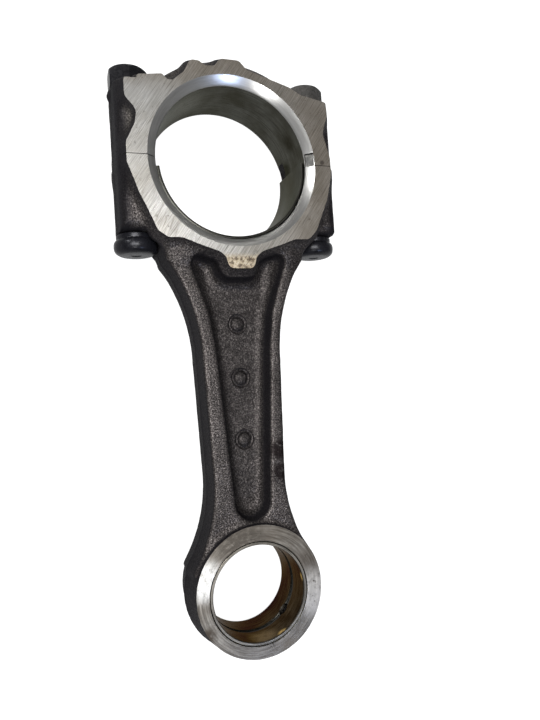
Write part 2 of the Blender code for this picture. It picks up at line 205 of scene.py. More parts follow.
# machined faces: x, y, corner radius
ROD_FACE = [
    (-49.6, 8, 0), (-49.6, -3.7, 2), (-45.2, -16.5, 12), (-39.6, -29, 5), (-37.8, -33.8, 3),
    (-33.0, -37.1, 3), (-27.0, -36.7, 6), (-20.5, -39.4, 8), (-9.6, -43.1, 5), (-6.9, -45.8, 3),
    (-6.0, -50.8, 3), (6.2, -50.8, 3), (7.5, -45.4, 3), (10.6, -42.7, 4), (21.5, -39.0, 8),
    (27.6, -36.6, 4), (34.6, -36.6, 3), (38.9, -32.6, 4), (45.8, -16.9, 14), (48.9, -4.5, 6),
    (48.9, 8, 0),
]
CAP_FACE = [
    (48.9, -8, 0), (48.9, 4.5, 4), (45.6, 16.0, 8), (48.8, 25.5, 4), (48.6, 32.0, 1.5),
    (35.5, 34.3, 3), (29.6, 37.6, 3), (8.4, 43.8, 4), (4.9, 47.9, 3), (-4.2, 47.9, 3),
    (-7.2, 43.9, 2.5), (-11.9, 43.6, 2.5), (-14.6, 45.7, 2), (-18.6, 45.7, 2.5),
    (-22.0, 39.4, 2.5), (-27.3, 35.0, 1), (-30.0, 35.2, 1), (-31.8, 37.5, 1), (-43.2, 35.9, 0.6),
    (-43.5, 34.1, 0.6), (-49.2, 34.1, 1), (-49.2, 25.6, 4), (-44.1, 20.0, 6), (-45.3, 13.6, 8),
    (-49.6, 5.0, 3), (-49.6, -8, 0),
]
POCKET_HALF = [
    (0, -53.0, 0), (7.0, -53.0, 0), (9.2, -44.0, 2), (17.0, -40.4, 5.5), (24.3, -45.4, 6),
    (20.6, -56.5, 12), (16.0, -70.5, 20), (13.8, -87.0, 30), (11.6, -121.0, 0),
]
POCKET_END = arc(0, -158.8, 9.2, 4, -90, 12)
FLARE_R, FOOT_R = 86.0, 73.0       # arcs from the beam up to the yoke and down to the eye
FLARE = arc(18.4 + FLARE_R, -92.0, FLARE_R, 180 - 33.1, 180, 16)
FOOT = arc(16.7 + FOOT_R, -148.0, FOOT_R, 180, 180 + 33.2, 16)
BEAM = rounded(mirrored([(30.0, -25.0, 0)] + [(x, y, 0) for x, y in FLARE + FOOT]
                        + [(20.0, -200.0, 0)]))
SIDE_X, CROWN_R = 53.3, 50.9       # flanks of the big end, outside of the cap over the bore
YOKE = rounded(mirrored([(SIDE_X, 12, 0), (SIDE_X, HEAD_SEAT_Y, 0), (SEAT_WALL_X, HEAD_SEAT_Y, 0),
                         (34.9, -40.0, 0), (27.0, -46.5, 8)]))
CAP_HALF = ([(0, CROWN_R, 0)]
            + [(x, y, 0) for x, y in reversed(arc(0, 0, CROWN_R, 52.6, 88, 14))]
            + [(34.5, 36.6, 2), (SIDE_X, 36.6, 1), (SIDE_X, -12, 0)])
CAP_CORE = rounded(CAP_HALF + [(-x, y, r) for x, y, r in reversed(CAP_HALF) if x > 0])


# ---------------------------------------------------------------- distance fields
class Field:
    """A block of space holding signed distances, in millimetres."""

    def __init__(self, low, high):
        self.low = np.array(low, float)
        n = [int(math.ceil((b - a) / VOXEL)) + 1 for a, b in zip(low, high)]
        x, y, z = (self.low[i] + VOXEL * np.arange(n[i], dtype=np.float32) for i in range(3))
        self.X, self.Y = (a.astype(np.float32) for a in np.meshgrid(x, y, indexing="ij"))
        self.x, self.y = self.X[:, :, None], self.Y[:, :, None]
        self.z = z.astype(np.float32)[None, None, :]
        self.depth = np.abs(self.z - MID)

    def outline(self, points):
        """Signed distance from a closed outline in the XY plane, negative inside."""
        best = np.full(self.X.shape, 1e9, np.float32)
        inside = np.zeros(self.X.shape, bool)
        for k, (bx, by) in enumerate(points):
            ax, ay = points[k - 1]
            dx, dy = bx - ax, by - ay
            if dx * dx + dy * dy < 1e-12:
                continue
            px, py = self.X - ax, self.Y - ay
            t = np.clip((px * dx + py * dy) / (dx * dx + dy * dy), 0, 1)
            best = np.minimum(best, (px - t * dx) ** 2 + (py - t * dy) ** 2)
            if ay != by:
                inside ^= ((ay > self.Y) != (by > self.Y)) & (px < dx * py / dy)
        d = np.sqrt(best)
        return np.where(inside, -d, d)[:, :, None].astype(np.float32)


def smin(a, b, k):
    h = np.clip(0.5 + 0.5 * (b - a) / k, 0, 1)
    return b + (a - b) * h - k * h * (1 - h)


def smax(a, b, k):
    return -smin(-a, -b, k)


def slab(d2, depth, half, r):
    """Outline distance and height made into a solid with rounded rims."""
    wx, wz = d2 + r, depth - (half - r)
    out = np.hypot(np.maximum(wx, 0), np.maximum(wz, 0))
    return np.minimum(np.maximum(wx, wz), 0) + out - r


def waves(points, scale, seed, count=24):
    """Smooth unevenness from -1 to 1, the size of scale."""
    rng = np.random.default_rng(seed)
    total = np.zeros(len(points))
    for _ in range(count):
        way = rng.normal(size=3)
        way /= np.linalg.norm(way)
        total += np.sin(points @ way * (2 * math.pi / (scale * rng.uniform(0.7, 1.6)))
                        + rng.uniform(0, 2 * math.pi))
    return np.clip(total / math.sqrt(count), -2, 2) / 2


def skin(name, field, d, rough=0.10):
    """Mesh of a distance field, with forging unevenness pressed into it."""
    grid = openvdb.FloatGrid(background=3.0)
    grid.copyFromArray(np.clip(d, -3, 3).astype(np.float32))
    points, quads = grid.convertToQuads(0.0)
    points = points.astype(float) * VOXEL + field.low
    a, b, c, e = (points[quads[:, i]] for i in range(4))
    face_n = np.cross(c - a, e - b)
    normal = np.zeros_like(points)
    for i in range(4):
        np.add.at(normal, quads[:, i], face_n)
    normal /= np.maximum(np.linalg.norm(normal, axis=1), 1e-9)[:, None]
    centre = points.mean(0)
    if ((points - centre) * normal).sum() < 0:
        normal = -normal
    bump = 0.55 * waves(points, 9.0, 3) + 0.45 * waves(points, 3.2, 5) - 0.35
    points += normal * (rough * bump)[:, None]
    return new_object(name, points, quads)


# ---------------------------------------------------------------- cutting tools
def both_ends(half):
    """Profile of (radius, height above mid) points, mirrored about the mid plane."""
    return [(r, MID + h) for r, h in half] + [(r, MID - h) for r, h in reversed(half)]


def big_bore_tool(name):
    """The bore with its turned chamfer on both faces."""
    wide = CHAMFER_R + CHAMFER_RUN
    half = [(0, MID + 6), (wide, MID + 6), (wide, MID + CHAMFER_FALL), (CHAMFER_R, MID),
            (BORE_R + 0.4, MID - 2.75), (BORE_R, MID - 3.3)]
    return revolve(name, both_ends(half), 256)


def eye_bore_tool(name):
    """The eye's bore with a small chamfer at each face."""
    wide = EYE_BORE_R + 2.1
    half = [(0, 25), (wide, 25), (wide, EYE_HALF + 1.8), (EYE_BORE_R + 0.2, EYE_HALF - 0.1),
            (EYE_BORE_R, EYE_HALF - 0.4)]
    return revolve(name, both_ends(half), 192, (0, EYE_Y, 0))


def face_slabs(name, wide, low_y, high_y, half):
    """Blocks that plane both faces off at the given half width."""
    return [block(f"{name}_front", (-wide, low_y, MID + half), (wide, high_y, WIDTH + 9)),
            block(f"{name}_rear", (-wide, low_y, -9), (wide, high_y, MID - half))]


def bolt_hole_tool(name, side):
    return revolve(name, [(0, 70), (BOLT_HOLE_R, 70), (BOLT_HOLE_R, -70), (0, -70)], 48,
                   (side * BOLT_X, 0, MID), "Y")


def lug_slot_tool(name):
    return revolve(name, [(0, 9.8), (20.0, 9.8), (20.0, 2.6), (0, 2.6)], 128, (18.1, 0, 0))


def oil_hole_tool(name):
    return revolve(name, [(0, 38), (4.2, 38), (4.2, 30.1), (3.0, 28.6), (3.0, 12), (0, 12)], 40,
                   (0, EYE_Y, MID), OIL_TURN)


# ---------------------------------------------------------------- rod body
def add_marks(rod):
    """Three round marks on the web: a ring pressed in, a domed disc left inside it."""
    top = MID + WEB_HALF
    ring = [(2.9, 3), (5.2, 3), (5.0, 0.02), (4.5, -0.75), (3.9, -1.0), (3.3, -0.8), (2.9, -0.1)]
    disc = [(0, 0.75), (1.8, 0.7), (2.6, 0.5), (3.15, 0.05), (3.45, -0.8), (3.5, -1.8), (0, -1.8)]
    for k, y in enumerate(MARK_YS):
        for kind, profile, operation in (("ring", ring, "DIFFERENCE"), ("disc", disc, "UNION")):
            cut(rod, revolve(f"mark_{kind}_{k}", [(r, top + h) for r, h in profile], 48,
                             (MARK_X, y, 0)), operation=operation)


def make_rod():
    f = Field((-55.5, -232.5, -2.4), (55.5, 4.6, WIDTH + 2.4))
    depth = f.depth
    beam = slab(f.outline(BEAM) - 0.7 + 0.06 * (depth - BEAM_HALF), depth, BEAM_HALF, 1.5)
    yoke = slab(f.outline(YOKE) + 0.035 * depth, depth, CORE_HALF, 5.0)
    # the eye bulges at mid depth on its flanks and reaches further out where the beam joins it
    eye_r = np.hypot(f.x, f.y - EYE_Y)
    turn = np.arctan2(f.y - EYE_Y, f.x)
    rim = EYE_RIM_R + 1.0 * np.cos(turn - math.radians(50))
    bulge = 2.3 * np.clip(1 - depth / EYE_HALF, 0, 1) * np.abs(np.cos(turn)) ** 0.7
    eye = np.maximum(eye_r - rim - bulge, depth - MID)
    core = smin(beam, yoke, 7.0)
    # hollows beside the web, walls drafted outwards and running into the floor with a fillet
    edge = rounded(mirrored(POCKET_HALF + [(x, y, 0) for x, y in POCKET_END]), 6)
    hollow = f.outline([(x + (1.2 if x < 0 else 0.3), y) for x, y in edge])
    rise = depth - WEB_HALF
    scoop = 4.4 + 4.6 * np.clip((f.y + 62) / 14, 0, 1)         # cupped ends beside the tab
    pocket = smax(hollow + 0.18 * np.clip(9.0 - rise, 0, 9), -rise, scoop)
    core = smax(core, -pocket, 1.5)
    face = f.outline(rounded(ROD_FACE))
    pad = np.maximum(face - 0.55 * np.clip(MID - depth, 0, 5.5), depth - MID - 1.6)
    core = smin(core, pad, 2.6)
    core = smin(core, eye, 1.6)
    core = core - FLASH * np.exp(-(depth / FLASH_WIDTH) ** 2)
    core = np.maximum(core, EYE_Y - EYE_FOOT - f.y)
    rod = skin("rod_forging", f, core)
    seats = [block(f"seat_{n}", (min(a, b), -62, MID - 11.5), (max(a, b), HEAD_SEAT_Y, MID + 11.5))
             for n, a, b in (("l", -SEAT_WALL_X, -70), ("r", SEAT_WALL_X, 70))]
    cut(rod, *face_slabs("face", 70, -140, 70, MID), *face_slabs("eye", 50, -250, -163, EYE_HALF),
        block("joint", (-80, -JOINT_GAP, -20), (80, 40, WIDTH + 20)))
    cut(rod, big_bore_tool("bore"), eye_bore_tool("eye_bore"), *seats,
        bolt_hole_tool("hole_l", LEFT), bolt_hole_tool("hole_r", RIGHT),
        lug_slot_tool("lug_slot"), oil_hole_tool("oil_hole"))
    add_marks(rod)
    return rod


# ---------------------------------------------------------------- cap
def make_cap():
    f = Field((-55.5, -4.6, -2.4), (55.5, 53.0, WIDTH + 2.4))
    depth = f.depth
    core = slab(f.outline(CAP_CORE) + 0.035 * depth, depth, CORE_HALF, 5.0)
    face = f.outline(rounded(CAP_FACE))
    pad = np.maximum(face - 0.45 * np.clip(MID - depth, 0, 5.5), depth - MID - 1.6)
    core = smin(core, pad, 2.2)
    # a small lump the dies left on the cap's side
    lump = np.sqrt((f.x + 51.7) ** 2 + ((f.y - 33.4) / 1.15) ** 2 + (depth / 1.3) ** 2) - 2.9
    core = smin(core, lump, 1.2)
    core = core - FLASH * np.exp(-(depth / FLASH_WIDTH) ** 2) * (f.y < 49.5)
    core = np.maximum(core, f.y - 50.95)
    cap = skin("cap_forging", f, core)
    slope = math.atan2(CHAMFER_FALL, CHAMFER_RUN)
    cut(cap, *face_slabs("face", 70, -70, 70, MID),
        block("joint", (-80, -40, -20), (80, JOINT_GAP, WIDTH + 20)))
    spot = [(0, 70), (11.9, 70), (11.5, NUT_SEAT_Y + 0.4), (11.2, NUT_SEAT_Y), (0, NUT_SEAT_Y)]
    spots = [revolve(f"spot_{n}", spot, 96, (side * BOLT_X, 0, MID), "Y")
             for n, side in (("l", LEFT), ("r", RIGHT))]
    cut(cap, big_bore_tool("bore"), bolt_hole_tool("hole_l", LEFT), bolt_hole_tool("hole_r", RIGHT),
        *spots, lug_slot_tool("lug_slot"),
        block("chamfer_notch", (-2.3, -0.8, -0.7), (2.1, 6.2, 6), -slope, (38.5, 0, WIDTH - 1.5)))
    return cap


# ---------------------------------------------------------------- bearings
def make_shell():
    low, high, outer, inner = 4.0, WIDTH - 4.0, 36.2, 34.8
    rim = 0.3
    profile = [(outer - rim, high), (outer - 0.09, high - 0.09), (outer, high - rim),
               (outer, low + rim), (outer - 0.09, low + 0.09), (outer - rim, low),
               (inner + rim, low), (inner + 0.09, low + 0.09), (inner, low + rim),
               (inner, high - rim), (inner + 0.09, high - 0.09), (inner + rim, high)]
    start, end, steps = 185.5, 363.5, 180
    points, faces, n = [], [], len(profile)
    for s in range(steps + 1):
        a = math.radians(start + (end - start) * s / steps)
        points += [(r * math.cos(a), r * math.sin(a), h) for r, h in profile]
    for s in range(steps):
        faces += [[s * n + k, s * n + (k + 1) % n, (s + 1) * n + (k + 1) % n, (s + 1) * n + k]
                  for k in range(n)]
    faces += [list(range(n)), [steps * n + k for k in range(n)]]
    shell = new_object("bearing_shell", points, faces)
    lug = prism("lug", arc(0, 0, 37.2, 355.0, 362.9, 8) + arc(0, 0, 35.2, 362.9, 353.5, 8),
                4.6, 9.0)
    cut(shell, lug, operation="UNION")
    return shell


def make_bush():
    low, high, r, bore = MID - 15.05, MID + 15.05, 23.15, 21.7
    profile = [(r - 0.15, high), (r, high - 0.15), (r, low + 0.15), (r - 0.15, low),
               (bore + 0.4, low), (bore + 0.06, low + 0.5), (bore, low + 0.8),
               (bore, MID - 1.7), (bore + 0.15, MID - 1.5), (bore + 0.65, MID - 1.1),
               (bore + 0.65, MID + 1.1), (bore + 0.15, MID + 1.5), (bore, MID + 1.7),
               (bore, high - 0.8), (bore + 0.06, high - 0.5), (bore + 0.4, high)]
    bush = revolve("bush", profile, 192, (0, EYE_Y, 0))
    return cut(bush, revolve("oil", [(0, 38), (3.0, 38), (3.0, 12), (0, 12)], 40,
                             (0, EYE_Y, MID), OIL_TURN))


# ---------------------------------------------------------------- bolts and nuts
PITCH, THREAD_TOP, THREAD_ROOT = 1.25, 5.72, 5.0


def make_bolt(name, side):
    seat, end = -32.3, -41.5

    def threaded(r, h, a):
        if r != THREAD_TOP:
            return r
        turn = ((h / PITCH + a / (2 * math.pi)) % 1.0)
        saw = abs(2 * turn - 1)
        return THREAD_ROOT + (THREAD_TOP - THREAD_ROOT) * min(1.0, 1.25 * saw)

    thread = [(THREAD_TOP, 46.2 - 0.19 * k) for k in range(80)]
    profile = ([(0, 47.3), (4.3, 47.3), (4.7, 47.0)] + thread + [
        (5.3, 30.6), (5.25, 30.0), (5.25, 13.4), (5.35, 12.6), (5.8, 11.7), (5.8, -11.7),
        (5.35, -12.6), (5.25, -13.4), (5.25, -26.0), (5.35, -26.9), (5.8, -27.7), (5.8, seat),
        (8.6, seat),
        (8.95, seat - 0.25), (9.0, seat - 1.5), (8.8, seat - 2.0), (8.85, seat - 2.3),
        (9.5, seat - 2.75), (10.0, seat - 3.5), (10.2, seat - 4.5), (10.2, seat - 5.8),
        (10.0, seat - 6.9), (9.5, end + 1.35), (8.7, end + 0.7), (7.8, end + 0.2),
        (7.0, end), (2.6, end), (2.2, end + 0.3), (0, end + 0.35)])
    bolt = revolve(name, profile, 96, (side * BOLT_X, 0, MID), "Y", threaded)
    flat = side * (SEAT_WALL_X + 0.3)
    inner = flat - side * 6
    tool = block("flat", (min(flat, inner), -60, MID - 12),
                 (max(flat, inner), seat + 0.01, MID + 12))
    return cut(bolt, tool)


def make_nut(name, side):
    low, high, across = 36.3, 45.8, 17.0
    corner = across / 2 / math.cos(math.pi / 6)
    nut = prism(name, arc(0, 0, corner, 30, 330, 5), low, high, (side * BOLT_X, 0, MID), "Y")
    trim = revolve("trim", [(0, high + 0.01), (across / 2 - 0.5, high + 0.01),
                            (across / 2 - 0.1, high - 0.12), (corner - 0.35, high - 1.1),
                            (corner + 0.2, high - 1.75), (corner + 0.2, low + 0.9),
                            (across / 2, low + 0.25), (across / 2 - 0.2, low - 0.01),
                            (0, low - 0.01)], 144, (side * BOLT_X, 0, MID), "Y")
    cut(nut, trim, operation="INTERSECT")
    cut(nut, revolve("tap", [(0, high + 2), (8.9, high + 2), (6.9, high + 0.0), (6.0, high - 0.9),
                             (6.0, low + 0.9), (6.9, low), (8.9, low - 2), (0, low - 2)], 96,
                     (side * BOLT_X, 0, MID), "Y"))
    return nut


# ---------------------------------------------------------------- node helpers
class Shader:
    """A material under construction; each method adds one node and returns its output socket."""

    def __init__(self, name):
        self.mat = bpy.data.materials.new(name)
        self.mat.use_nodes = True
        self.tree = self.mat.node_tree
        self.out = self.tree.nodes["Principled BSDF"]
        self.place = self.tree.nodes.new("ShaderNodeTexCoord").outputs["Object"]

    def node(self, kind, **settings):
        n = self.tree.nodes.new(kind)
        for key, value in settings.items():
            setattr(n, key, value)
        return n

    def feed(self, socket, value):
        if isinstance(value, bpy.types.NodeSocket):
            self.tree.links.new(value, socket)
        else:
            socket.default_value = value

    def maths(self, operation, a, b=0.0, clamp=False):
        n = self.node("ShaderNodeMath", operation=operation, use_clamp=clamp)
        self.feed(n.inputs[0], a)
        self.feed(n.inputs[1], b)
        return n.outputs[0]

    def noise(self, scale, detail=4.0, rough=0.6, at=None, distort=0.0):
        n = self.node("ShaderNodeTexNoise")
        self.feed(n.inputs["Vector"], at or self.place)
        n.inputs["Scale"].default_value = scale
        n.inputs["Detail"].default_value = detail
        n.inputs["Roughness"].default_value = rough
        n.inputs["Distortion"].default_value = distort
        return n.outputs["Fac"]

    def cells(self, scale, at=None):
        n = self.node("ShaderNodeTexVoronoi")
        self.feed(n.inputs["Vector"], at or self.place)
        n.inputs["Scale"].default_value = scale
        return n.outputs["Distance"]

    def ramp(self, value, *stops):
        """stops are (position, colour or grey)."""
        n = self.node("ShaderNodeValToRGB")
        self.feed(n.inputs[0], value)
        while len(n.color_ramp.elements) < len(stops):
            n.color_ramp.elements.new(0.5)
        for e, (pos, c) in zip(n.color_ramp.elements, stops):
            e.position = pos
            e.color = (*c, 1) if isinstance(c, tuple) else (c, c, c, 1)
        return n.outputs[0]

    def mix(self, share, a, b, blend="MIX"):
        n = self.node("ShaderNodeMix", data_type="RGBA", blend_type=blend)
        self.feed(n.inputs[0], share)
        self.feed(n.inputs[6], a if isinstance(a, bpy.types.NodeSocket) else (*a, 1))
        self.feed(n.inputs[7], b if isinstance(b, bpy.types.NodeSocket) else (*b, 1))
        return n.outputs[2]

    def mapping(self, turn=(0, 0, 0), scale=(1, 1, 1), move=(0, 0, 0), at=None):
        n = self.node("ShaderNodeMapping")
        self.feed(n.inputs["Vector"], at or self.place)
        n.inputs["Location"].default_value = move
        n.inputs["Rotation"].default_value = turn
        n.inputs["Scale"].default_value = scale
        return n.outputs[0]

    def split(self, at=None):
        n = self.node("ShaderNodeSeparateXYZ")
        self.feed(n.inputs[0], at or self.place)
        return n.outputs

    def join(self, x, y, z):
        n = self.node("ShaderNodeCombineXYZ")
        for socket, v in zip(n.inputs, (x, y, z)):
            self.feed(socket, v)
        return n.outputs[0]

    def near(self, centre, radius, soft=0.5):
        """1 inside a round patch, fading to 0 outside it. centre is (x, y, z) in millimetres."""
        x, y, z = centre
        n = self.node("ShaderNodeVectorMath", operation="DISTANCE")
        self.feed(n.inputs[0], self.place)
        n.inputs[1].default_value = (x * MM, (y + BIG_Y) * MM, z * MM)
        m = self.node("ShaderNodeMapRange", interpolation_type="SMOOTHSTEP")
        self.feed(m.inputs["Value"], n.outputs["Value"])
        m.inputs["From Min"].default_value = radius * MM * (1 - soft)
        m.inputs["From Max"].default_value = radius * MM
        m.inputs["To Min"].default_value = 1.0
        m.inputs["To Max"].default_value = 0.0
        return m.outputs[0]

    def between(self, value, low, high):
        """0 at low to 1 at high."""
        m = self.node("ShaderNodeMapRange", interpolation_type="SMOOTHSTEP")
        self.feed(m.inputs["Value"], value)
        m.inputs["From Min"].default_value = low
        m.inputs["From Max"].default_value = high
        return m.outputs[0]

    def polar(self, centre_y, along, around, across):
        """Coordinates that run round a bore: angle times around, radius times across,
        z times along."""
        x, y, z = self.split()
        y = self.maths("SUBTRACT", y, centre_y)
        r = self.node("ShaderNodeVectorMath", operation="LENGTH")
        self.feed(r.inputs[0], self.join(x, y, 0.0))
        angle = self.maths("ARCTAN2", y, x)
        return self.join(self.maths("MULTIPLY", angle, around),
                         self.maths("MULTIPLY", r.outputs["Value"], across),
                         self.maths("MULTIPLY", z, along))

    def finish(self, colour, rough, metal, height=None, depth=0.0, **fixed):
        s = self.out.inputs
        self.feed(s["Base Color"], colour if isinstance(colour, bpy.types.NodeSocket)
                  else (*colour, 1))
        self.feed(s["Roughness"], rough)
        self.feed(s["Metallic"], metal)
        for key, value in fixed.items():
            s[key].default_value = value
        if depth:
            n = self.node("ShaderNodeBump")
            n.inputs["Strength"].default_value = 1.0
            n.inputs["Distance"].default_value = depth * MM
            self.feed(n.inputs["Height"], height)
            self.feed(s["Normal"], n.outputs[0])
        return self.mat


def forging(name, base, light, speck_sheen=0.5):
    """Blasted and oiled forging skin: gritty, with painted shade that makes its flanks, web floor
    and outer sides near black, and painted highlight specks.
    """
    s = Shader(name)
    x, _, z = s.split()
    grain = s.noise(1400, 5, 0.75)
    fine = s.noise(3000, 3, 0.7)
    broad = s.noise(45, 4, 0.6)
    pits = s.cells(1300)
    tone = s.ramp(grain, (0.36, tuple(0.30 * c for c in base)), (0.50, base), (0.68, light))
    tone = s.mix(1.0, tone, s.ramp(broad, (0.35, 0.70), (0.62, 1.20)), "MULTIPLY")
    # painted highlight: fine bright specks, blended towards the light tone, stand in for glints off
    # the grit
    speck = s.ramp(fine, (0.58, 0.0), (0.68, 1.0))
    tone = s.mix(s.maths("MULTIPLY", speck, speck_sheen), tone, light)
    turn = s.node("ShaderNodeVectorTransform", vector_type="NORMAL", convert_from="WORLD",
                  convert_to="OBJECT")
    s.tree.links.new(s.node("ShaderNodeNewGeometry").outputs["Normal"], turn.inputs[0])
    nz = s.split(turn.outputs[0])[2]
    # flank is 1 on surfaces that face sideways; their tone goes near black below as painted shade,
    # and they are also made rougher and less metallic
    flank = s.between(s.maths("ABSOLUTE", nz), 0.80, 0.30)
    # painted shade: the web floor and the low part of the pocket walls are darkened
    sunk_shade = s.between(s.maths("ABSOLUTE", s.maths("SUBTRACT", z, MID * MM)), 0.0085, 0.0045)
    tone = s.mix(s.maths("MULTIPLY", sunk_shade, 0.45), tone, (0.010, 0.009, 0.009))
    tone = s.mix(s.maths("MULTIPLY", flank, 0.90), tone, (0.007, 0.0065, 0.008))
    # painted shade: the outer sides of the big end are darkened to near black
    far_side_shade = s.between(s.maths("ABSOLUTE", x), 0.0465, 0.0505)
    tone = s.mix(s.maths("MULTIPLY", far_side_shade, 0.85), tone, (0.009, 0.0085, 0.010))
    stain = s.maths("MAXIMUM", s.near((15.5, -136.0, 31.0), 7.0, 0.6),
                    s.near((15.5, -147.0, 31.0), 7.0, 0.6))
    stain = s.maths("MULTIPLY", stain, s.ramp(s.noise(260, 3, 0.6), (0.34, 0.0), (0.48, 0.95)))
    tone = s.mix(stain, tone, (0.008, 0.006, 0.006))
    rough = s.ramp(grain, (0.35, 0.50), (0.65, 0.30))
    rough = s.maths("ADD", rough, s.maths("MULTIPLY", flank, 0.28))
    height = s.maths("ADD", grain, s.maths("MULTIPLY", pits, 0.5))
    metal = s.maths("MULTIPLY", s.maths("SUBTRACT", 1.0, flank), 0.65)
    return s.finish(tone, rough, metal, height, 0.17,
                    **{"Specular IOR Level": 0.10, "Specular Tint": (0.55, 0.53, 0.55, 1)})


def ground(name):
    """Surface-ground face: silver grey with long diagonal scratches."""
    s = Shader(name)
    x, y, _ = s.split()

    def strokes(angle, long, fine, detail, move=0.0):
        turned_way = s.mapping(turn=(0, 0, math.radians(-angle)))
        return s.noise(1.0, detail, 0.7, s.mapping(scale=(long, fine, 30), move=(move, 0, 0),
                                                   at=turned_way))

    line = strokes(52, 30, 1250, 4)
    fine = strokes(57, 60, 2900, 3, 3.0)
    cross = strokes(66, 45, 1000, 3, 7.0)
    streak = s.maths("ADD", s.maths("MULTIPLY", line, 0.55), s.maths("MULTIPLY", fine, 0.45))
    tone = s.ramp(streak, (0.37, (0.17, 0.165, 0.155)), (0.47, (0.36, 0.355, 0.34)),
                  (0.56, (0.50, 0.495, 0.48)), (0.66, (0.72, 0.71, 0.69)))
    tone = s.mix(1.0, tone, s.ramp(s.noise(60, 4, 0.6), (0.35, (0.78, 0.76, 0.72)),
                                   (0.65, (1.08, 1.08, 1.08))), "MULTIPLY")
    low_left = s.maths("MULTIPLY", s.between(x, 0.0, -0.03),
                       s.between(y, (BIG_Y - 5) * MM, (BIG_Y - 25) * MM))
    tone = s.mix(s.maths("MULTIPLY", low_left, s.ramp(cross, (0.54, 0.0), (0.64, 0.6))), tone,
                 (0.16, 0.145, 0.13))
    # warmer tint and painted shade: the face is darkened and warmed towards the right and over the
    # top of the cap
    warm_shade = s.maths("MAXIMUM", s.between(x, -0.01, 0.045),
                   s.between(y, (BIG_Y + 24) * MM, (BIG_Y + 44) * MM))
    tone = s.mix(warm_shade, tone, s.mix(1.0, tone, (0.80, 0.735, 0.67), "MULTIPLY"))
    lit_side = s.maths("MULTIPLY", s.between(x, 0.012, -0.034),
                       s.between(y, (BIG_Y + 30) * MM, (BIG_Y + 6) * MM))
    tone = s.mix(lit_side, tone, s.mix(1.0, tone, (1.12, 1.11, 1.10), "MULTIPLY"))
    dark = s.ramp(s.noise(380, 4, 0.65), (0.63, 0.0), (0.72, 0.75))
    tone = s.mix(dark, tone, (0.10, 0.085, 0.07))
    tab = s.maths("MULTIPLY", s.between(y, (BIG_Y - 43.0) * MM, (BIG_Y - 46.5) * MM),
                  s.between(y, (BIG_Y - 70) * MM, (BIG_Y - 69) * MM))
    rust = s.ramp(s.noise(620, 4, 0.7), (0.40, (0.10, 0.065, 0.035)), (0.50, (0.42, 0.34, 0.23)),
                  (0.68, (0.66, 0.60, 0.47)))
    tone = s.mix(s.maths("MULTIPLY", tab, 0.85), tone, rust)
    smudge = s.near((44.5, 1.5, WIDTH), 1.6, 0.6)
    tone = s.mix(s.maths("MULTIPLY", smudge, 0.7), tone, (0.05, 0.04, 0.035))
    rough = s.ramp(line, (0.35, 0.42), (0.65, 0.27))
    height = s.maths("ADD", streak, s.maths("MULTIPLY", cross, 0.35))
    return s.finish(tone, rough, 0.92, height, 0.05)


def turned(name, centre_y, dark, light, rough=(0.22, 0.40), depth=0.02, along=1500, across=1500,
           stain=None, stain_scale=60, patches=(), flecks=0.0, edge=(1, 1, 1),
           metal=0.95):
    """Bored or turned surface: fine lines running round the axis."""
    s = Shader(name)
    round_lines = s.noise(1.0, 4, 0.75, s.polar(centre_y, along, 2.2, across))
    broad = s.noise(stain_scale, 4, 0.6)
    tone = s.ramp(round_lines, (0.34, dark), (0.66, light))
    if stain:
        tone = s.mix(s.ramp(broad, (0.42, 0.0), (0.66, 0.8)), tone, stain)
    ragged = s.ramp(s.noise(420, 4, 0.65), (0.36, 0.55), (0.52, 1.0))
    # patches of given colour; which ones are painted highlights, painted light or painted shade is
    # said where each material is made
    for centre, radius, colour in patches:
        tone = s.mix(s.maths("MULTIPLY", s.near(centre, radius, 0.7), ragged), tone, colour)
    if flecks:
        fleck = s.ramp(s.noise(520, 5, 0.7), (0.61, 0.0), (0.67, flecks))
        where = s.ramp(s.noise(70, 2, 0.5), (0.45, 0.25), (0.60, 1.0))
        tone = s.mix(s.maths("MULTIPLY", fleck, where), tone, (0.05, 0.04, 0.03))
    r = s.ramp(round_lines, (0.3, rough[0]), (0.7, rough[1]))
    return s.finish(tone, r, metal, round_lines, depth, **{"Specular Tint": (*edge, 1)})


def black_oxide(name, tint, rubbed):
    s = Shader(name)
    broad = s.noise(180, 4, 0.6)
    scratch = s.noise(1.0, 3, 0.6, s.mapping(scale=(900, 160, 900)))
    tone = s.ramp(broad, (0.35, tuple(0.5 * c for c in tint)), (0.65, tint))
    tone = s.mix(s.ramp(scratch, (0.60, 0.0), (0.72, 0.35)), tone, rubbed)
    rough = s.ramp(s.noise(600, 4, 0.7), (0.3, 0.20), (0.7, 0.38))
    return s.finish(tone, rough, 0.35, s.noise(1100, 3, 0.6), 0.02,
                    **{"Specular IOR Level": 0.20})


# ---------------------------------------------------------------- dressing a piece
def arrays(mesh):
    n = len(mesh.polygons)
    centre, normal = np.zeros(n * 3), np.zeros(n * 3)
    mesh.polygons.foreach_get("center", centre)
    mesh.polygons.foreach_get("normal", normal)
    centre = centre.reshape(-1, 3) / MM
    centre[:, 1] -= BIG_Y
    return centre, normal.reshape(-1, 3)


def dress(obj, body, node, materials, rule=None):
    mesh = obj.data
    mesh.materials.clear()
    for m in materials:
        mesh.materials.append(m)
    c, n = arrays(mesh)
    index = rule(c, n) if rule else np.zeros(len(c), int)
    mesh.polygons.foreach_set("material_index", index.astype(np.int32))
    mesh.polygons.foreach_set("use_smooth", np.ones(len(c), bool))
    mesh.set_sharp_from_angle(angle=math.radians(SHARP_ANGLE))
    mesh.update()
    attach(obj, body)
    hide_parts(node)


SKIN, FACE, CHAMFER, WALL, CUT, EYE = range(6)      # the materials of both forgings


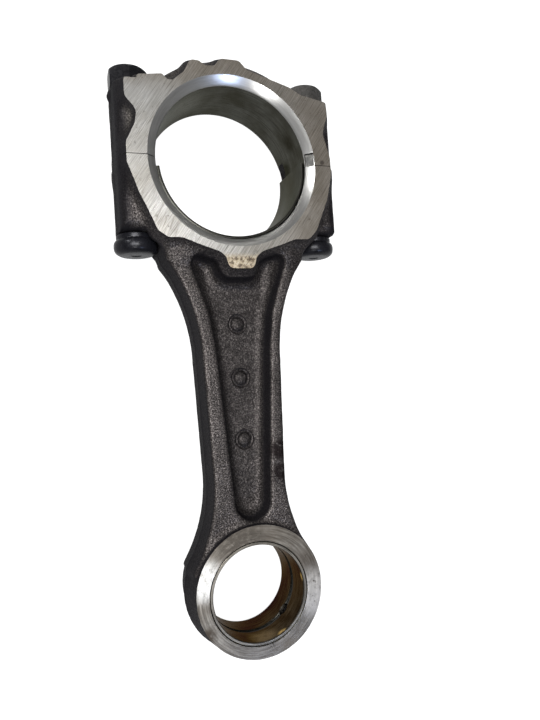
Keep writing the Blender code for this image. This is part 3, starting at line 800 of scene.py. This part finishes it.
def big_end_rule(c, n):
    """Which material each polygon has, from its centre and its normal."""
    r = np.hypot(c[:, 0], c[:, 1])
    radial = (c[:, 0] * n[:, 0] + c[:, 1] * n[:, 1]) / np.maximum(r, 1e-6)
    eye_r = np.hypot(c[:, 0], c[:, 1] - EYE_Y)
    eye_radial = (c[:, 0] * n[:, 0] + (c[:, 1] - EYE_Y) * n[:, 1]) / np.maximum(eye_r, 1e-6)
    depth = np.abs(c[:, 2] - MID)
    out = np.full(len(c), SKIN)
    flat = np.abs(n[:, 2]) > 0.999
    out[flat & (np.abs(depth - MID) < 0.02)] = FACE
    out[flat & (np.abs(depth - EYE_HALF) < 0.02) & (c[:, 1] < -165)] = EYE
    cone = np.abs(r - CHAMFER_R + (MID - depth) * CHAMFER_RUN / CHAMFER_FALL)
    inward = radial < -0.3
    out[inward & (r < CHAMFER_R + 1.1) & (depth > MID - 4.6)] = CUT
    out[inward & (r < CHAMFER_R + 0.2) & (depth > MID - 3.35) & (cone < 0.45)] = CHAMFER
    out[(radial < -0.98) & (np.abs(r - BORE_R) < 0.12)] = WALL
    out[(eye_radial < -0.3) & (eye_r < EYE_BORE_R + 2.2)] = WALL
    out[(np.abs(c[:, 1]) < JOINT_GAP + 0.02) & (np.abs(n[:, 1]) > 0.999)] = CUT
    out[(np.abs(c[:, 1] - NUT_SEAT_Y) < 0.02) & (n[:, 1] > 0.999)] = CUT
    out[(np.abs(c[:, 1] - HEAD_SEAT_Y) < 0.02) & (n[:, 1] < -0.999)] = CUT
    for side in (LEFT, RIGHT):
        off = np.hypot(c[:, 0] - side * BOLT_X, c[:, 2] - MID)
        out[off < BOLT_HOLE_R + 0.05] = CUT
    return out


def end_face_rule(c, n):
    """1 on the flat ends of a bearing, 0 elsewhere."""
    return np.where(np.abs(n[:, 2]) > 0.5, 1, 0)


def bush_rule(c, n):
    """As end_face_rule, and 2 in the oil groove."""
    r = np.hypot(c[:, 0], c[:, 1] - EYE_Y)
    groove = (r > 21.75) & (r < 22.7) & (np.abs(c[:, 2] - MID) < 2.2)
    return np.where(groove, 2, end_face_rule(c, n))


forged_mat = forging("forged_steel_skin", (0.031, 0.0275, 0.0265), (0.175, 0.158, 0.150))
cap_mat = forging("cap_steel_skin", (0.042, 0.038, 0.035), (0.19, 0.175, 0.16))
ground_mat = ground("ground_face")
chamfer_mat = turned("turned_chamfer", BIG_Y * MM, (0.42, 0.415, 0.40), (0.56, 0.555, 0.54),
                     (0.28, 0.28), 0.0, 700, 700, metal=0.91)
bore_mat = turned("bored_wall", BIG_Y * MM, (0.050, 0.050, 0.044), (0.115, 0.115, 0.103),
                  (0.24, 0.40), 0.03, 1100, 1100, (0.038, 0.036, 0.028), 75,
                  [((30.5, 14.0, 24.0), 7.5, (0.022, 0.020, 0.015)),
                   ((35.5, 6.0, 12.0), 6.0, (0.020, 0.019, 0.014)),
                   # painted highlight: the lighter patch at the upper left of the bore
                   ((-20.0, 30.0, 20.0), 16.0, (0.15, 0.15, 0.138))],
                  edge=(0.55, 0.55, 0.50))
# cut faces, the chamfer notch among them; the darker patch at the notch is painted shade
cut_mat = turned("cut_metal", BIG_Y * MM, (0.10, 0.095, 0.085), (0.24, 0.235, 0.22),
                 (0.3, 0.45), 0.03, 2000, 2000,
                 patches=[((38.5, 2.5, 36.0), 6.0, (0.050, 0.050, 0.048))])
eye_mat = turned("eye_face", (BIG_Y + EYE_Y) * MM, (0.130, 0.115, 0.094), (0.31, 0.285, 0.245),
                 (0.28, 0.42), 0.03, 1500, 1500, (0.13, 0.11, 0.088), 55,
                 [((-9.0, -173.0, 33.85), 19.0, (0.095, 0.083, 0.069)),
                  ((26.5, -203.5, 33.85), 15.0, (0.60, 0.56, 0.50)),
                  # painted highlight on a polished patch: the near-white patch on the left of the
                  # eye face
                  ((-25.5, -190.5, 33.85), 12.0, (0.84, 0.82, 0.765)),
                  ((-25.0, -214.5, 33.85), 5.5, (0.075, 0.060, 0.045)),
                  ((13.0, -226.5, 33.85), 7.0, (0.16, 0.135, 0.105))], 0.9)
bronze_mat = turned("bush_bronze", (BIG_Y + EYE_Y) * MM, (0.028, 0.021, 0.0145),
                    (0.105, 0.082, 0.058), (0.18, 0.40), 0.03, 1300, 1300,
                    (0.020, 0.014, 0.009), 60,
                    # painted highlights: two golden glints on the bush's front inner edge
                    [((21.4, -196.0, 33.5), 2.6, (0.75, 0.52, 0.20)),
                     ((9.8, -219.4, 33.5), 3.2, (0.75, 0.52, 0.20)),
                     # painted light: the lower part of the bore, near the front, is lighter
                     ((2.0, -221.5, 29.0), 9.0, (0.20, 0.15, 0.09))],
                    edge=(0.45, 0.37, 0.29))
bush_face_mat = turned("bush_face", (BIG_Y + EYE_Y) * MM, (0.17, 0.155, 0.13), (0.36, 0.33, 0.28),
                       (0.24, 0.36), 0.02, 1500, 1500)
shell_mat = turned("bearing_lining", BIG_Y * MM, (0.055, 0.056, 0.048), (0.120, 0.122, 0.106),
                   (0.26, 0.42), 0.02, 1500, 1500, (0.060, 0.056, 0.044), 70,
                   edge=(0.55, 0.55, 0.50))
# painted shade: near black on the shell's recessed end faces and in the bush's oil groove
recess_shade_mat = turned("shell_edge_shade", BIG_Y * MM, (0.02, 0.02, 0.017), (0.06, 0.058, 0.05))
bolt_mat = black_oxide("bolt_black", (0.012, 0.012, 0.015), (0.05, 0.05, 0.05))
nut_mats = {"l": black_oxide("nut_black", (0.012, 0.012, 0.014), (0.045, 0.045, 0.045)),
            "r": black_oxide("nut_worn", (0.075, 0.072, 0.068), (0.20, 0.195, 0.18))}

metal_set = [forged_mat, ground_mat, chamfer_mat, bore_mat, cut_mat, eye_mat]
dress(make_rod(), "rod", "rod_body", metal_set, big_end_rule)
dress(make_cap(), "cap", "bearing_cap", [cap_mat] + metal_set[1:], big_end_rule)
dress(make_bush(), "rod", "small_end_bush",
      [bronze_mat, bush_face_mat, recess_shade_mat], bush_rule)
dress(make_shell(), "shell", "bearing_shell_lower", [shell_mat, recess_shade_mat],
      end_face_rule)
for tag, word, sign in (("l", "left", LEFT), ("r", "right", RIGHT)):
    dress(make_bolt(f"cap_bolt_{word}", sign), f"bolt_{tag}", f"bolt_{word}",
          [bolt_mat])
    dress(bevel(make_nut(f"cap_nut_{word}", sign), 0.22), f"nut_{tag}", f"nut_{word}",
          [nut_mats[tag]])


# ---------------------------------------------------------------- floor, light and camera
def seen_or_lit(tree, seen, lit):
    """Brightness as seen directly, and the weaker brightness with which it lights the object."""
    path = tree.nodes.new("ShaderNodeLightPath")
    level = tree.nodes.new("ShaderNodeMapRange")
    tree.links.new(path.outputs["Is Camera Ray"], level.inputs["Value"])
    level.inputs["To Min"].default_value, level.inputs["To Max"].default_value = lit, seen
    return level.outputs[0]


FLOOR_HALF, FLOOR_Z = 40.0, -0.0006        # metres
FLOOR_SEEN, FLOOR_LIT = 0.96, 0.34
SKY_SEEN, SKY_LIT = 1.0, 0.16
floor_mesh = bpy.data.meshes.new("floor")
floor_mesh.from_pydata([(i * FLOOR_HALF, j * FLOOR_HALF, FLOOR_Z)
                        for i, j in ((-1, -1), (1, -1), (1, 1), (-1, 1))], [], [(0, 1, 2, 3)])
floor = bpy.data.objects.new("floor", floor_mesh)
pale = Shader("pale_floor")
pale.out.inputs["Base Color"].default_value = (0.2, 0.2, 0.2, 1)
pale.out.inputs["Roughness"].default_value = 0.9
pale.out.inputs["Specular IOR Level"].default_value = 0.1
pale.out.inputs["Emission Color"].default_value = (1, 1, 1, 1)
pale.tree.links.new(seen_or_lit(pale.tree, FLOOR_SEEN, FLOOR_LIT),
                     pale.out.inputs["Emission Strength"])
floor_mesh.materials.append(pale.mat)
bpy.context.scene.collection.objects.link(floor)

world = bpy.data.worlds.new("studio")
world.use_nodes = True
sky = world.node_tree.nodes["Background"]
sky.inputs[0].default_value = (1, 1, 1, 1)
world.node_tree.links.new(seen_or_lit(world.node_tree, SKY_SEEN, SKY_LIT), sky.inputs[1])
bpy.context.scene.world = world
TARGET = Vector((0, 0, 0.02))              # what the lights point at, metres


def soft_light(name, direction, distance, width, height, power, colour=(1, 1, 1)):
    data = bpy.data.lights.new(name, "AREA")
    data.shape, data.size, data.size_y = "RECTANGLE", width, height
    data.energy, data.color = power, colour
    light = bpy.data.objects.new(name, data)
    light.location = TARGET + Vector(direction).normalized() * distance
    light.rotation_mode = "QUATERNION"
    light.rotation_quaternion = (TARGET - light.location).to_track_quat("-Z", "Y")
    bpy.context.scene.collection.objects.link(light)


soft_light("overhead", (-0.22, 0.04, 1.0), 1.3, 0.55, 0.8, 24)
soft_light("low_front", (-0.235, -0.617, 0.751), 1.1, 0.16, 0.26, 3.2)
soft_light("low_blue", (0.31, -0.68, 0.665), 1.1, 0.16, 0.20, 2.4, (0.55, 0.68, 1.0))
soft_light("left_window", (-0.64, 0.52, 0.56), 1.1, 0.22, 0.28, 3.4)

cam_data = bpy.data.cameras.new("camera")
cam_data.sensor_fit, cam_data.sensor_width = "AUTO", 36.0
cam_data.lens = 30.777
cam_data.clip_start, cam_data.clip_end = 0.01, 20.0
camera = bpy.data.objects.new("camera", cam_data)
camera.location = (-0.08661, -0.01674, 0.30575)
camera.rotation_mode = "QUATERNION"
camera.rotation_quaternion = Quaternion((0.984239, 0.027018, -0.172523, -0.027907))
bpy.context.scene.collection.objects.link(camera)
bpy.context.scene.camera = camera
bpy.context.scene.view_settings.view_transform = "Standard"
